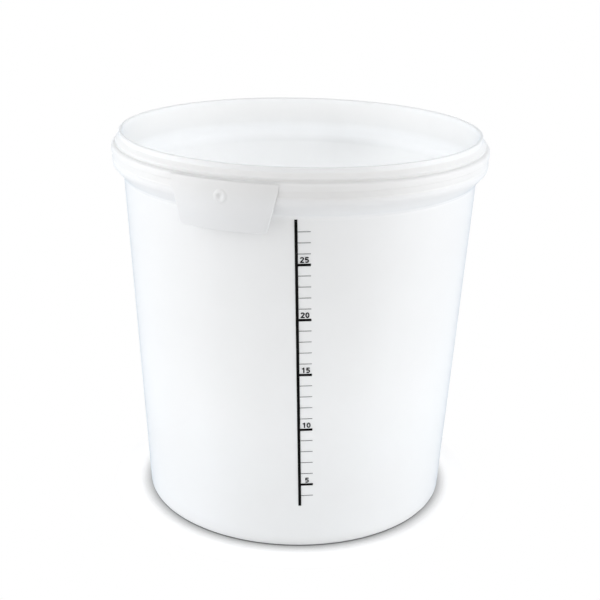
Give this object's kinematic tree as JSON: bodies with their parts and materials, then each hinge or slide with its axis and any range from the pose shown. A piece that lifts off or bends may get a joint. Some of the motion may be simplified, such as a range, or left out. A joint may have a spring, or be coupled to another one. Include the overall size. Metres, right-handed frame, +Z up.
{
  "type": "fermenting bucket",
  "caption": "Open tapered bucket of milky translucent plastic with a lid-lock lip, a stiff rim collar, bail lugs and a printed litre scale, for fermenting and measuring liquid.",
  "frame": {"origin": "centre of the standing plane under the foot ring", "axes": "+Z up along the bucket's axis, -Y out through the front bail lug, +X to the right seen from the front lug"},
  "size_m": [0.3808, 0.3824, 0.389],
  "materials": {
    "milky_plastic": "smooth satin moulding, milky and translucent",
    "black_ink": "flat screen print"
  },
  "bodies": {
    "root": {"bucket_shell": "milky_plastic", "rim_collar": "milky_plastic", "handle_lug_front": "milky_plastic", "handle_lug_rear": "milky_plastic", "scale_spine": "black_ink", "scale_mark_04_l": "black_ink", "scale_mark_05_l": "black_ink", "scale_mark_06_l": "black_ink", "scale_mark_07_l": "black_ink", "scale_mark_08_l": "black_ink", "scale_mark_09_l": "black_ink", "scale_mark_10_l": "black_ink", "scale_mark_11_l": "black_ink", "scale_mark_12_l": "black_ink", "scale_mark_13_l": "black_ink", "scale_mark_14_l": "black_ink", "scale_mark_15_l": "black_ink", "scale_mark_16_l": "black_ink", "scale_mark_17_l": "black_ink", "scale_mark_18_l": "black_ink", "scale_mark_19_l": "black_ink", "scale_mark_20_l": "black_ink", "scale_mark_21_l": "black_ink", "scale_mark_22_l": "black_ink", "scale_mark_23_l": "black_ink", "scale_mark_24_l": "black_ink", "scale_mark_25_l": "black_ink", "scale_mark_26_l": "black_ink", "scale_mark_27_l": "black_ink", "scale_mark_28_l": "black_ink"}
  },
  "joints": []
}
